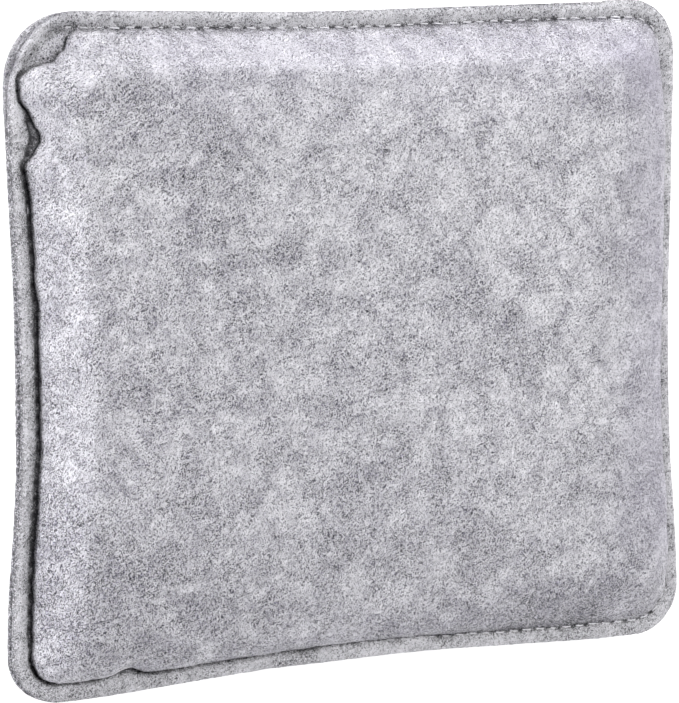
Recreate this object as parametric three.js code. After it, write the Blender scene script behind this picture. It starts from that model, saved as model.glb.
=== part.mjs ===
// Needle felting pad: two felt plies sewn together over a foam slab.
// Millimetres, +Z up. The pad lies on its back ply, with +Y towards the upper side of the work face.
// The origin is under the middle of the pad, on the surface that it lies on.
import * as THREE from 'three';

// Cut felt
const padWidth = 200;             // along X, over the corners
const padHeight = 180;            // along Y, over the corners
const cornerRadius = 14;          // of the cut edge
const feltThickness = 2;
const drawnInTop = 1.2;           // how far the filling pulls each side in at its middle
const drawnInLeft = 3;
const drawnInBottom = 2.5;
const drawnInRight = 2.4;

// Filling
const foamThickness = 25;         // at the middle of the pad
const crownRise = 2;              // middle of the work face over its shoulder
const shoulderRun = 12;           // level distance from the crease at the seam to the shoulder
const shoulderCornerRadius = 13;  // of the shoulder line, seen from above

// Seam
const seamAllowance = 4.2;        // cut edge to stitch row
const stitchLength = 4.3;
const stitchRise = 0.35;          // middle of a stitch over its needle holes
const threadDiameter = 0.5;
const channelDepth = 0.6;         // of the strip that the stitches press into the felt
const tackStitches = 3;           // stitches that the end of the seam sews beside its start
const tackInset = 1.5;            // from the upper right corner's arc to the start of the seam

// Clearances
const plyGap = 0.3;               // between the two plies along the flange
const foamGap = 0.3;              // between foam and felt
const threadGap = 0.3;            // between thread and felt
const tackGap = 0.5;              // between the two strands of the back-tack
const tightestArc = 0.5;          // smallest corner radius of an inner outline

// Facets
const cornerSteps = 5;
const levelSideSteps = 10;
const uprightSideSteps = 9;
const outerBendSteps = 5;
const innerBendSteps = 4;
const crownSteps = 3;
const flatSteps = 1;
const threadSides = 3;
const stitchPoints = [            // share of the stitch gone by, share of its rise
  { along: 0, lift: 0 },
  { along: 0.25, lift: 1 },
  { along: 0.75, lift: 1 },
];

// Finishes
const feltGrey = 0xb7b8bd;
const threadWhite = 0xe4e4e6;
const foamCream = 0xe9e6dc;
const feltRoughness = 0.95;
const threadRoughness = 0.7;
const foamRoughness = 0.9;

// Worked out from the sizes above. Heights of the seam's parts are over the seam level.
const fullTurn = 2 * Math.PI;
const quarterTurn = fullTurn / 4;
const padThickness = foamThickness + 2 * (foamGap + feltThickness);
const seamLevel = (padThickness - crownRise) / 2;
const flangeInside = plyGap / 2;
const flangeOutside = flangeInside + feltThickness;
const loft = seamLevel - flangeOutside;                // shoulder over the flange
const tackSpread = threadDiameter + tackGap;           // strand to strand
const channelReach = (tackSpread + threadDiameter) / 2 + threadGap;
const crease = seamAllowance + channelReach;           // inset of the foot of the padded wall
const lining = crease + feltThickness;                 // inset of the wall's inner face

// The outline, inset from the cut edge, as a ring of points at one height.
// It runs counter-clockwise from the right end of the upper side.
function outline(inset, radius, height) {
  const arcX = padWidth / 2 - inset - radius;
  const arcY = padHeight / 2 - inset - radius;
  const sides = [
    { x: arcX, y: arcY, quarter: 1, steps: levelSideSteps, drawnIn: drawnInTop },
    { x: -arcX, y: arcY, quarter: 2, steps: uprightSideSteps, drawnIn: drawnInLeft },
    { x: -arcX, y: -arcY, quarter: 3, steps: levelSideSteps, drawnIn: drawnInBottom },
    { x: arcX, y: -arcY, quarter: 4, steps: uprightSideSteps, drawnIn: drawnInRight },
  ];
  const ring = [];
  sides.forEach((side, index) => {
    const next = sides[(index + 1) % sides.length];
    const outX = Math.cos(side.quarter * quarterTurn);
    const outY = Math.sin(side.quarter * quarterTurn);
    for (let step = 0; step < side.steps; step += 1) {
      const share = step / side.steps;
      const reach = radius - side.drawnIn * (1 - Math.cos(share * fullTurn)) / 2;
      const x = THREE.MathUtils.lerp(side.x, next.x, share) + outX * reach;
      const y = THREE.MathUtils.lerp(side.y, next.y, share) + outY * reach;
      ring.push(new THREE.Vector3(x, y, height));
    }
    for (let step = 0; step < cornerSteps; step += 1) {
      const angle = (side.quarter + step / cornerSteps) * quarterTurn;
      const x = next.x + radius * Math.cos(angle);
      const y = next.y + radius * Math.sin(angle);
      ring.push(new THREE.Vector3(x, y, height));
    }
  });
  return ring;
}

// The corner arcs of the flange stay parallel to the cut edge.
function parallelArc(inset) {
  return Math.max(cornerRadius - inset, tightestArc);
}

function flange(inset, height) {
  return outline(inset, parallelArc(inset), height);
}

// The padded wall: a quarter ellipse from its foot at the seam to the shoulder.
function bend(footInset, footHeight, run, rise, steps) {
  const rings = [];
  for (let step = 0; step <= steps; step += 1) {
    const angle = (step / steps) * quarterTurn;
    const gone = 1 - Math.cos(angle);
    const radius = THREE.MathUtils.lerp(parallelArc(footInset), shoulderCornerRadius, gone);
    rings.push(outline(footInset + run * gone, radius, footHeight + rise * Math.sin(angle)));
  }
  return rings;
}

// The crown: rings that close in on the middle, from the shoulder inwards.
function crown(shoulder, rise, steps) {
  const rings = [];
  for (let step = 1; step < steps; step += 1) {
    const share = step / steps;
    const lift = rise * (1 - Math.cos(share * Math.PI)) / 2;
    rings.push(shoulder.map((p) => new THREE.Vector3(p.x * (1 - share), p.y * (1 - share), p.z + lift)));
  }
  return rings;
}

// A closed skin over rings of equal length, with a fan to a point at each end.
function skin(startPoint, rings, endPoint) {
  const points = [startPoint, ...rings.flat(), endPoint];
  const count = rings[0].length;
  const lastRing = rings.length - 1;
  const lastPoint = points.length - 1;
  const at = (ring, spot) => 1 + ring * count + (spot % count);
  const triangles = [];
  for (let spot = 0; spot < count; spot += 1) {
    triangles.push(0, at(0, spot), at(0, spot + 1));
    for (let ring = 0; ring < lastRing; ring += 1) {
      triangles.push(at(ring, spot), at(ring + 1, spot), at(ring + 1, spot + 1));
      triangles.push(at(ring, spot), at(ring + 1, spot + 1), at(ring, spot + 1));
    }
    triangles.push(lastPoint, at(lastRing, spot + 1), at(lastRing, spot));
  }
  const geometry = new THREE.BufferGeometry().setFromPoints(points);
  geometry.setIndex(triangles);
  geometry.computeVertexNormals();
  return geometry;
}

// Heights over or under the seam level become heights over the surface that the pad lies on.
function aboveSeam(point) {
  return new THREE.Vector3(point.x, point.y, seamLevel + point.z);
}

function belowSeam(point) {
  return new THREE.Vector3(point.x, point.y, seamLevel - point.z);
}

function middle(height) {
  return new THREE.Vector3(0, 0, height);
}

// One felt ply as rings from the middle of its outer face, over the cut edge, to the middle of its lining.
function plyRings(rise, steps) {
  const outerWall = bend(crease, flangeOutside, shoulderRun, loft, outerBendSteps);
  const innerRun = shoulderRun - feltThickness;
  const innerWall = bend(lining, flangeOutside, innerRun, loft - feltThickness, innerBendSteps);
  return [
    ...crown(outerWall.at(-1), rise, steps).reverse(),
    ...outerWall.toReversed(),
    flange(seamAllowance, flangeOutside - channelDepth),
    flange(seamAllowance - channelReach, flangeOutside),
    flange(0, flangeOutside),
    flange(0, flangeInside),
    flange(lining, flangeInside),
    ...innerWall,
    ...crown(innerWall.at(-1), rise, steps),
  ];
}

function frontFelt() {
  const outerMiddle = middle(flangeOutside + loft + crownRise);
  const innerMiddle = middle(flangeOutside + loft - feltThickness + crownRise);
  const rings = plyRings(crownRise, crownSteps).map((ring) => ring.map(aboveSeam));
  return skin(aboveSeam(outerMiddle), rings, aboveSeam(innerMiddle));
}

// The back ply is flat where the pad lies on it, so it has no crown.
function backFelt() {
  const outerMiddle = middle(flangeOutside + loft);
  const innerMiddle = middle(flangeOutside + loft - feltThickness);
  const rings = plyRings(0, flatSteps).map((ring) => ring.map(belowSeam));
  return skin(belowSeam(innerMiddle), rings.reverse(), belowSeam(outerMiddle));
}

// The foam fills the lining, with its edges pressed round by the cover.
function foam() {
  const run = shoulderRun - feltThickness - foamGap;
  const rise = loft - feltThickness - foamGap;
  const wall = bend(lining + foamGap, flangeOutside, run, rise, innerBendSteps);
  const upper = [...wall, ...crown(wall.at(-1), crownRise, crownSteps)].reverse();
  const upperRings = upper.map((ring) => ring.map(aboveSeam));
  const lowerRings = wall.map((ring) => ring.map(belowSeam));
  const top = aboveSeam(middle(flangeOutside + rise + crownRise));
  const bottom = belowSeam(middle(flangeOutside + rise));
  return skin(top, [...upperRings, ...lowerRings], bottom);
}

// The stitch row as a path that can be walked by its length.
function stitchRow() {
  const corners = flange(seamAllowance, 0);
  const row = new THREE.CurvePath();
  corners.forEach((corner, index) => {
    row.add(new THREE.LineCurve3(corner, corners[(index + 1) % corners.length]));
  });
  return row;
}

// Sideways shift of a thread: apart at the back-tack, in the middle of the channel elsewhere.
function tackShift(stitch, seamStitches) {
  const leaving = THREE.MathUtils.clamp(tackStitches + 1 - stitch, 0, 1);
  const returning = THREE.MathUtils.clamp(stitch - seamStitches + 1, 0, 1);
  return (leaving - returning) * tackSpread / 2;
}

// One cross-section of a thread, square to its run.
function threadSection(centre, outward) {
  const ring = [];
  for (let side = 0; side < threadSides; side += 1) {
    const angle = quarterTurn + (side / threadSides) * fullTurn;
    const corner = centre.clone().addScaledVector(outward, Math.cos(angle) * threadDiameter / 2);
    corner.z += Math.sin(angle) * threadDiameter / 2;
    ring.push(corner);
  }
  return ring;
}

function centroid(points) {
  const sum = points.reduce((total, point) => total.add(point), new THREE.Vector3());
  return sum.divideScalar(points.length);
}

// A thread starts in the back-tack, goes right round and ends beside its own start.
function threadRings() {
  const row = stitchRow();
  const rowLength = row.getLength();
  const seamStitches = Math.round(rowLength / stitchLength);
  const seat = flangeOutside - channelDepth + threadGap + threadDiameter / 2;
  const rings = [];
  for (let stitch = 0; stitch < seamStitches + tackStitches; stitch += 1) {
    stitchPoints.forEach(({ along, lift }) => {
      const place = ((stitch + along) / seamStitches + tackInset / rowLength) % 1;
      const ahead = row.getTangent(place);
      const outward = new THREE.Vector3(ahead.y, -ahead.x, 0);
      const shift = tackShift(stitch + along, seamStitches);
      const bank = channelDepth * Math.abs(shift) / channelReach;
      const centre = row.getPoint(place).addScaledVector(outward, shift);
      centre.z = seat + bank + lift * stitchRise;
      rings.push(threadSection(centre, outward));
    });
  }
  return rings;
}

function needleThread() {
  const rings = threadRings().map((ring) => ring.map(aboveSeam));
  return skin(centroid(rings[0]), rings, centroid(rings.at(-1)));
}

function bobbinThread() {
  const rings = threadRings().map((ring) => ring.map(belowSeam).reverse());
  return skin(centroid(rings[0]), rings, centroid(rings.at(-1)));
}

function piece(name, geometry, color, roughness) {
  const material = new THREE.MeshStandardMaterial({ color, roughness, metalness: 0 });
  const mesh = new THREE.Mesh(geometry, material);
  mesh.name = name;
  return mesh;
}

const pad = new THREE.Group();
pad.name = 'needle_felting_pad';
pad.add(piece('front_felt_panel', frontFelt(), feltGrey, feltRoughness));
pad.add(piece('back_felt_panel', backFelt(), feltGrey, feltRoughness));
pad.add(piece('foam_core', foam(), foamCream, foamRoughness));
pad.add(piece('needle_thread', needleThread(), threadWhite, threadRoughness));
pad.add(piece('bobbin_thread', bobbinThread(), threadWhite, threadRoughness));

export default pad;
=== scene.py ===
# Needle felting pad: felt, foam, stitching, floor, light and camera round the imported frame. Metres, +Z up.
import math
import bmesh
import bpy
import numpy as np
from mathutils import Matrix, Vector, kdtree, noise


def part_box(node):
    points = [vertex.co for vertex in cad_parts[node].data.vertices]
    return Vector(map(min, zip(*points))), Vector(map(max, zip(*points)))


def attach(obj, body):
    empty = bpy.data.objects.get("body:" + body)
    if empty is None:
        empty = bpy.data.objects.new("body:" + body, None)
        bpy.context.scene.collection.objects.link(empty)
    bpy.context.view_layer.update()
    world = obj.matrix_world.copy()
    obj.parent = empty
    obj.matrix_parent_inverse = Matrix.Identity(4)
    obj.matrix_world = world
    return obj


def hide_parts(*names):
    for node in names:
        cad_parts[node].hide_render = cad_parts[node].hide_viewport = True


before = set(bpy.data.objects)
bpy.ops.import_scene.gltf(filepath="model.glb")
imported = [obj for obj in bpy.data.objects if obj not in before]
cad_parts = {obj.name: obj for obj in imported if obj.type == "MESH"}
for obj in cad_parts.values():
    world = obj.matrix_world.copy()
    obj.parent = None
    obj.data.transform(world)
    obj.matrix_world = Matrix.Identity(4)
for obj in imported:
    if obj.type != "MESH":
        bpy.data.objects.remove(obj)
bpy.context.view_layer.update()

mm = 0.001
frontLow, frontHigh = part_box("front_felt_panel")
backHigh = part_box("back_felt_panel")[1]
padWidth = frontHigh.x - frontLow.x
padHeight = frontHigh.y - frontLow.y
plyGap = frontLow.z - backHigh.z
seamLevel = (frontLow.z + backHigh.z) / 2
print("frame: pad", round(padWidth, 4), "by", round(padHeight, 4), "seam at", round(seamLevel, 5))

# The four corners are in walking order: upper left, lower left, lower right, upper right.
# The four sides are in walking order too: top, left, bottom, right.
cover = {
    "feltThickness": 2.0 * mm,
    "cornerRadii": np.array([17.0, 12.6, 13.5, 13.4]) * mm,
    "drawnIn": np.array([1.2, 3.0, 2.5, 2.4]) * mm,
    "drawnInShift": np.array([-0.17, -0.12, 0.06, 0.23]),  # moves the deepest pull along its side
    "drawnInLost": 0.4,            # share of the pull that is gone at the shoulder
    "flare": 2.4 * mm,             # lower side wider than the upper one
    "seamAllowance": 4.2 * mm,
    "grooveWidth": 0.5 * mm,       # stitch row to the foot of the wall
    "shoulderRun": 12.0 * mm,
    "shoulderRadius": 13.0 * mm,
    "crownRise": 0.75,             # share of the way to the middle where the crown is full
}

# Rings and columns of the finished felt, and of the coarse copy that the filling swells
fineMesh = {
    "spacing": 0.73 * mm, "flangeRings": 13, "pocketRings": 4, "wallRings": 22, "liningSteps": 6,
    "crownStart": (0.985, 2),      # its first ring's scale, and points of the wall for each of its own
    "liningStart": (0.97, 4),
}
cageMesh = {"spacing": 4.0 * mm, "flangeRings": 3, "pocketRings": 1, "wallRings": 7}
columnStep = 8    # counts of columns are multiples of this, so that rings can be thinned
flangeInside = plyGap / 2
flangeOutside = flangeInside + cover["feltThickness"]
cornerSigns = np.array([(-1, 1), (-1, -1), (1, -1), (1, 1)])
sideNormals = np.array([(0, 1), (-1, 0), (0, -1), (1, 0)])


def smoothStep(low, high, value):
    share = np.clip((value - low) / (high - low), 0, 1)
    return share * share * (3 - 2 * share)


# A smooth curve through given (place, value) points, or one value all along
def along(points, place):
    if isinstance(points, (int, float)):
        return np.full(len(place), float(points))
    places, values = np.array(points, float).T
    after = np.clip(np.searchsorted(places, place), 1, len(places) - 1)
    share = np.clip((place - places[after - 1]) / (places[after] - places[after - 1]), 0, 1)
    ease = (1 - np.cos(share * math.pi)) / 2
    return values[after - 1] + (values[after] - values[after - 1]) * ease


def columnCount(length, spacing):
    return columnStep * max(1, round(length / columnStep / spacing))


# Columns of points round the pad, counter-clockwise from the right end of the upper side
def layColumns(spacing):
    radii = cover["cornerRadii"]
    before = np.roll(radii, 1)
    spans = np.array([padWidth, padHeight, padWidth, padHeight]) - radii - before
    levelSteps = columnCount((spans[0] + spans[2]) / 2, spacing)
    uprightSteps = columnCount((spans[1] + spans[3]) / 2, spacing)
    arcSteps = columnCount(radii.mean() * math.pi / 2, spacing)
    side, arc, share, place = [], [], [], []
    walked = 0.0
    for k, steps in enumerate((levelSteps, uprightSteps, levelSteps, uprightSteps)):
        for run, count, length in ((0, steps, spans[k]), (1, arcSteps, radii[k] * math.pi / 2)):
            step = np.arange(count) / count
            side.append(np.full(count, k))
            arc.append(np.full(count, run))
            share.append(step)
            place.append(walked + step * length)
            walked += length
    return {
        "side": np.concatenate(side),
        "arc": np.concatenate(arc).astype(bool),
        "share": np.concatenate(share),
        "place": np.concatenate(place) / mm,     # millimetres walked along the cut edge
        "level": levelSteps + arcSteps,
        "upright": uprightSteps + arcSteps,
        "half": arcSteps // 2,
    }


# One ring of the outline: inset from the cut edge, with its own corner radii,
# and a shift inwards and a height for each column
def outlineRing(columns, inset, radii, pull, shift, height):
    side, share = columns["side"], columns["share"]
    half = np.array([padWidth / 2, padHeight / 2])
    centres = cornerSigns * (half - inset - radii[:, None])
    start = (side - 1) % 4
    normal = sideNormals[side]
    straightStart = centres[start] + radii[start][:, None] * normal
    straightEnd = centres[side] + radii[side][:, None] * normal
    bent = share + cover["drawnInShift"][side] * np.sin(share * math.pi) ** 2 / 2
    bow = cover["drawnIn"][side] * pull * (1 - np.cos(bent * 2 * math.pi)) / 2
    straight = straightStart + (straightEnd - straightStart) * share[:, None] - normal * bow[:, None]
    angle = (side + 1 + share) * math.pi / 2
    spoke = np.stack([np.cos(angle), np.sin(angle)], 1)
    curved = centres[side] + radii[side][:, None] * spoke
    arc = columns["arc"][:, None]
    flat = np.where(arc, curved, straight)
    flat = flat - np.where(arc, spoke, normal) * (np.zeros(len(side)) + shift)[:, None]
    flat[:, 0] *= 1 - cover["flare"] * flat[:, 1] / (padHeight / 2) / padWidth
    return np.column_stack([flat, np.zeros(len(side)) + height])


# Points and faces of one skin are collected ring by ring
def newSkin():
    return {"points": [], "faces": [], "count": 0}


def addPoints(skin, points):
    first = skin["count"]
    skin["points"].append(np.asarray(points, float))
    skin["count"] += len(points)
    return np.arange(first, skin["count"])


def bridge(skin, ringA, ringB):
    skin["faces"].extend(np.stack([ringA, ringB, np.roll(ringB, -1), np.roll(ringA, -1)], 1).tolist())


def bridgeAll(skin, rings):
    for ringA, ringB in zip(rings[:-1], rings[1:]):
        bridge(skin, ringA, ringB)


# A ring with one point for each few of the ring outside it
def thinRing(skin, ring, points, ratio):
    coarse = addPoints(skin, points)
    following = np.roll(coarse, -1)
    middle = ratio // 2
    for k in range(len(coarse)):
        fine = [ring[(k * ratio + j) % len(ring)] for j in range(ratio + 1)]
        for j in range(ratio):
            apex = coarse[k] if j < middle else following[k]
            skin["faces"].append([fine[j], apex, fine[j + 1]])
        skin["faces"].append([coarse[k], following[k], fine[middle]])
    return coarse


# A grid of points that fills a ring, with its corners on the middles of the four arcs
def fillRing(skin, ring, columns, ratio, lift):
    level, upright = columns["level"] // ratio, columns["upright"] // ratio
    points = np.concatenate(skin["points"])
    ids = np.zeros((level + 1, upright + 1), int)
    turn = np.roll(ring, columns["half"] // ratio)
    ids[:, 0] = turn[:level + 1]
    ids[level, :] = turn[level:level + upright + 1]
    ids[::-1, upright] = turn[level + upright:2 * level + upright + 1]
    ids[0, ::-1] = np.append(turn[2 * level + upright:], turn[0])
    u = (np.arange(level + 1) / level)[:, None, None]
    v = (np.arange(upright + 1) / upright)[None, :, None]
    top, bottom = points[ids[:, :1]], points[ids[:, -1:]]
    right, left = points[ids[:1, :]], points[ids[-1:, :]]
    corners = ((1 - u) * (1 - v) * top[:1] + u * (1 - v) * top[-1:]
               + (1 - u) * v * bottom[:1] + u * v * bottom[-1:])
    grid = (1 - v) * top + v * bottom + (1 - u) * right + u * left - corners
    across = smoothStep(0, cover["crownRise"], 1 - np.abs(2 * u[..., 0] - 1))
    upDown = smoothStep(0, cover["crownRise"], 1 - np.abs(2 * v[..., 0] - 1))
    grid[..., 2] += lift * across * upDown
    inner = addPoints(skin, grid[1:-1, 1:-1].reshape(-1, 3))
    ids[1:-1, 1:-1] = inner.reshape(level - 1, upright - 1)
    quads = np.stack([ids[:-1, :-1], ids[1:, :-1], ids[1:, 1:], ids[:-1, 1:]], -1)
    skin["faces"].extend(quads.reshape(-1, 4).tolist())


def skinToObject(name, skin):
    mesh = bpy.data.meshes.new(name)
    mesh.from_pydata(np.concatenate(skin["points"]).tolist(), [], skin["faces"])
    tidy = bmesh.new()
    tidy.from_mesh(mesh)
    bmesh.ops.recalc_face_normals(tidy, faces=tidy.faces)
    tidy.to_mesh(mesh)
    tidy.free()
    mesh.polygons.foreach_set("use_smooth", [True] * len(mesh.polygons))
    obj = bpy.data.objects.new(name, mesh)
    bpy.context.collection.objects.link(obj)
    return obj


# Darker and paler clouds in the felt: middle, reach in mm, amount. Most are the felt's own uneven tone;
# the row along the lower wall, those on the right wall and the one at the upper right corner are painted
# shade
frontCloudsAndShade = [
    ((-56, -52), 22, 0.25), ((-48, 62), 12, 0.25), ((-84, -66), 13, 0.42), ((-88, -44), 10, 0.3),
    ((36, -62), 14, 0.2), ((66, -8), 20, -0.2), ((-70, 71), 6, 0.45), ((39, 4), 4, 0.6),
    ((-28, 26), 4, 0.5), ((-62, 64), 8, 0.2), ((-44, 53), 8, 0.2), ((-53, 36), 10, 0.25),
    ((25, 14), 6, 0.3), ((-11, -42), 10, 0.2), ((45, -8), 6, 0.3), ((69, -82), 9, 1.4),
    ((52, -81), 9, 1.0), ((30, -82), 8, 0.5), ((8, -83), 10, 0.4), ((-16, -84), 8, 0.5),
    ((-40, -85), 9, 0.35), ((-64, -84), 8, 0.3), ((92, 8), 9, 0.1), ((93, -18), 10, 0.4),
    ((93, -44), 9, 0.35), ((84, 74), 9, 0.2),
]
# Painted cool shade along the right and upper walls: the felt is mixed towards a smoother, darker violet
# grey, in the same terms
frontCoolShade = [((90, y), 16, 0.3) for y in range(-55, 71, 25)]
frontCoolShade += [((x, 80), 14, 0.22) for x in range(-55, 71, 25)] + [((84, 74), 10, 0.25)]

# How each ply lies along its edge. Places are millimetres walked from the right end of the upper side.
# seam: stitch row inside its even line, in mm
# pocket: slack felt between the row and the wall's foot, in mm
# lean, chamfer: below 0 the wall swells out, above 0 it is flatter; near the seam and near the shoulder
# run: how much wider than its even run the wall is, in mm
# groove: depth of the stitch row, in mm; lip: share of the flange where it starts to sink to the row
# roll: how far the flange rounds up outside the row, in mm
# gape: how far the cut edge stands off the other ply, in mm; trim: cut edge outside the pattern, in mm
# rowShade, footShade, floorShade: painted shade on the stitch row, on the wall's foot and between them
# rowLine: painted shade in a narrow line along the stitches
# flangeReach, wallReach: how far that painted shade goes over the flange and up the wall, in mm
# paleFlange: how far the flange is mixed towards paler felt, partly its own pressed tone and partly painted
# light where the pad's bulk shades it; cutShade: darkness of the cut edge, its own speckle with painted
# shade on its rounded rim
# lie: middle of a stitch over the felt of the row, in mm
frontPly = {
    "side": 1,
    "crown": 0.2 * mm,
    "seam": [(0, 0), (186, 0), (192, -0.6), (196.5, -2.3), (201, -1.6), (205.5, 0.8), (211.5, 1.7),
             (214.5, 0.6), (218.5, -1.1), (228, -0.1), (240, 0.2), (340, 0.2), (376, 0.1), (385, 0.9),
             (395, -0.2), (430, -0.5), (550, -0.5), (575, -0.6), (700, -0.6), (715, 0), (736, 0)],
    "pocket": [(0, 0), (167, 0.2), (170.5, 1.4), (174, 4.8), (184, 5.6), (189, 4.0), (193, 1.2),
               (196.5, 0), (204.5, 0), (208, 0.9), (210, 1.9), (213, 2.1), (215.5, 1.2), (219, 0.1),
               (230, 0.2), (340, 0.2), (360, 0), (378, 0), (385, 1.0), (391, 0), (736, 0)],
    "lean": [(0, 0.3), (160, 0.3), (176, 0.15), (190, 0.0), (204, 0.0), (345, 0.0), (375, -0.1),
             (430, 0.0), (480, 0.15), (505, 0.6), (548, 0.5), (575, -0.28), (690, -0.28), (712, 0.1),
             (736, 0.3)],
    "chamfer": [(0, 0.35), (160, 0.35), (180, 0.25), (205, 0.4), (340, 0.4), (370, 0.2), (430, 0.3),
                (530, 0.3), (560, 0.2), (700, 0.2), (736, 0.35)],
    "run": [(0, 1.5), (150, 1.5), (180, 1.0), (205, 2.5), (340, 2.5), (390, 3), (520, 3), (560, 1.5),
            (736, 1.5)],
    "groove": [(0, 0.6), (150, 0.6), (190, 1.3), (330, 1.5), (380, 1.1), (430, 1.0), (480, 0.8),
               (505, 0.4), (548, 0.4), (580, 0.7), (650, 0.8), (736, 0.6)],
    "lip": [(0, 0.4), (150, 0.4), (190, 0.5), (220, 0.35), (320, 0.35), (352, 0.7), (400, 0.7),
            (500, 0.5), (736, 0.4)],
    "roll": [(0, 0.2), (150, 0.2), (200, 0.6), (370, 0.6), (450, 0.4), (545, 0.25), (736, 0.2)],
    "gape": [(0, 0), (160, 0), (180, 0.6), (190, 0.7), (200, 0.4), (350, 0.35), (400, 0.1), (450, 0),
             (736, 0)],
    "trim": [(0, 0.5), (8, 0.4), (11, -0.5), (24, -0.4), (60, 0), (166, 0), (176, -0.8), (184, -1.7),
             (192, -1.4), (199, -0.1), (206, 0.2), (345, 0.2), (375, 0.3), (400, 0.05), (424, 0.05),
             (444, 0.5), (480, 0.15), (505, 0.3), (530, 0.6), (560, 0.6), (592, 0.3), (622, 0.75),
             (655, 0.2), (690, 0.25), (715, 0.6), (736, 0.5)],
    "rowShade": [(0, 0.26), (140, 0.26), (165, 0.5), (174, 0.45), (183, 0.35), (191, 0.5), (197, 0.65),
                 (204, 0.7), (208, 1.0), (225, 0.92), (330, 0.92), (360, 0.75), (392, 0.65),
                 (410, 0.42), (430, 0.4), (480, 0.3), (505, 0.15), (550, 0.12), (575, 0), (695, 0),
                 (710, 0.4), (722, 0.35), (736, 0.26)],
    "footShade": [(0, 0.34), (150, 0.34), (168, 0.4), (173, 0.75), (178, 0.6), (184, 0.8), (190, 0.9),
                  (200, 0.75), (206, 1.0), (225, 0.95), (340, 0.95), (392, 0.8), (410, 0.4),
                  (430, 0.25), (480, 0.2), (550, 0.15), (575, 0.08), (705, 0.08), (736, 0.34)],
    "floorShade": [(0, 0), (182, 0), (191, 0.3), (197, 0.5), (203, 0.6), (206, 0.85), (216, 0.85),
                   (221, 0), (736, 0)],
    "rowLine": [(0, 0.75), (150, 0.75), (166, 0.5), (180, 0.2), (200, 0.5), (345, 0.5), (379, 0.7),
                (405, 0.36), (475, 0.36), (500, 0.45), (545, 0.7), (560, 0.5), (575, 0.15), (690, 0.15),
                (706, 0.5), (736, 0.75)],
    "flangeReach": [(0, 0.9), (160, 0.9), (200, 1.2), (220, 2.1), (320, 2.0), (352, 0.7), (480, 0.85),
                    (736, 0.9)],
    "wallReach": [(0, 3.2), (150, 3.2), (175, 1.0), (192, 0.9), (200, 1.6), (207, 1.4), (220, 1.0),
                  (340, 0.9), (392, 0.9), (430, 2.6), (545, 3.0), (575, 4.0), (705, 4.0), (736, 3.2)],
    "paleFlange": [(0, 0.7), (180, 0.75), (210, 1.0), (400, 1.0), (690, 1.0), (720, 0.75), (736, 0.7)],
    "cutShade": [(0, 0.7), (150, 0.7), (172, 0.45), (195, 0.5), (215, 1.0), (350, 1.0), (390, 0.3),
                 (545, 0.25), (575, 0.1), (700, 0.1), (736, 0.7)],
    "lie": [(0, 0.25), (150, 0.25), (175, 0.0), (200, -0.4), (400, -0.4), (470, 0.0), (505, 0.4),
            (550, 0.4), (575, -0.2), (700, -0.2), (715, 0.1), (736, 0.25)],
    "unevenSeed": 3.7,
    "stitchSeed": 5,
    "cloudsAndShade": frontCloudsAndShade,
    "coolShade": frontCoolShade,
}
backPly = {
    "side": -1,
    "crown": 0.0,
    "seam": [(0, 0), (360, 0), (372, -0.8), (384, 0), (736, 0)],
    "pocket": [(0, 0), (92, 0), (100, 1.2), (108, 0), (338, 0), (347, 3.6), (357, 4.2), (364, 0.4),
               (370, 0), (590, 0), (598, 1.0), (606, 0), (736, 0)],
    "lean": [(0, 0.1), (200, 0.0), (370, 0.1), (560, 0.05), (736, 0.1)],
    "chamfer": [(0, 0.2), (200, 0.25), (370, 0.2), (560, 0.25), (736, 0.2)],
    "run": [(0, 1.0), (180, 0), (350, 0), (390, 1.5), (540, 1.5), (736, 1.0)],
    "groove": [(0, 1.0), (300, 1.1), (500, 0.9), (736, 1.0)],
    "lip": [(0, 0.5), (300, 0.56), (736, 0.5)],
    "roll": [(0, 0.35), (300, 0.4), (560, 0.3), (736, 0.35)],
    "gape": 0,
    "trim": [(0, 0), (165, 0), (176, -0.35), (188, -0.2), (200, 0.3), (215, 0), (250, 0.05), (266, 0.5),
             (284, 0.7), (304, 0.1), (318, 0), (336, 0.4), (358, 0.6), (380, 0.2), (400, 0.1),
             (440, 0.4), (470, 0.35), (500, 0.2), (545, 0.5), (580, 0.3), (736, 0)],
    "rowShade": 0.7,
    "footShade": 0.6,
    "floorShade": 0.2,
    "rowLine": 0.7,
    "flangeReach": 1.1,
    "wallReach": 1.3,
    "paleFlange": 0.5,
    "cutShade": [(0, 0.9), (150, 0.8), (170, 0.5), (195, 0.5), (215, 1.0), (350, 1.0), (390, 0.8),
                 (736, 0.9)],
    "lie": 0.05,
    "unevenSeed": 11.3,
    "stitchSeed": 9,
    "cloudsAndShade": [],
    "coolShade": [],
}

# Small uneven shifts along the edge, in mm, as size and span
wander = {
    "seam": (0.3, 6.0), "pocket": (0.4, 3.6), "trim": (0.13, 1.9), "roll": (0.14, 9.0),
    "groove": (0.15, 6.0), "run": (1.0, 21.0), "jag": (0.28, 1.7),
}
wanderSeedStep = 10

# Cut edge, flange, pocket and foot of a ply
plyForm = {
    "edgeRound": 0.12 * mm,    # how far the cut edge is rounded off
    "cutProfile": ((1, 0.0), (0, 0.2), (-0.5, 0.5), (0, 0.8)),  # in edgeRounds, share of the thickness
    "edgeDrop": 0.35 * mm,
    "edgeFall": 0.12,          # share of the flange where its edge drops
    "ringCrowd": 0.85,         # below 1 the rings crowd towards the stitch row
    "rollSkew": 0.8,           # below 1 the roll is highest nearer to the cut edge
    "rollPeak": 0.8,           # below 1 the roll is fuller
    "pocketRise": 0.3,         # how far slack felt stands up, in pocket widths
    "pocketPeak": 1.2,
    "pocketClose": 0.4,        # share of the groove's depth that a pocket takes back
    "jagReach": 0.3,           # share of the wall's height where its foot is jagged
}


def edgeNoise(columns, span, seed):
    cut = outlineRing(columns, 0.0, cover["cornerRadii"], 1, 0.0, 0.0) / (span * mm)
    return np.array([noise.noise(Vector(point) + Vector((0, 0, seed))) for point in cut])


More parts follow.
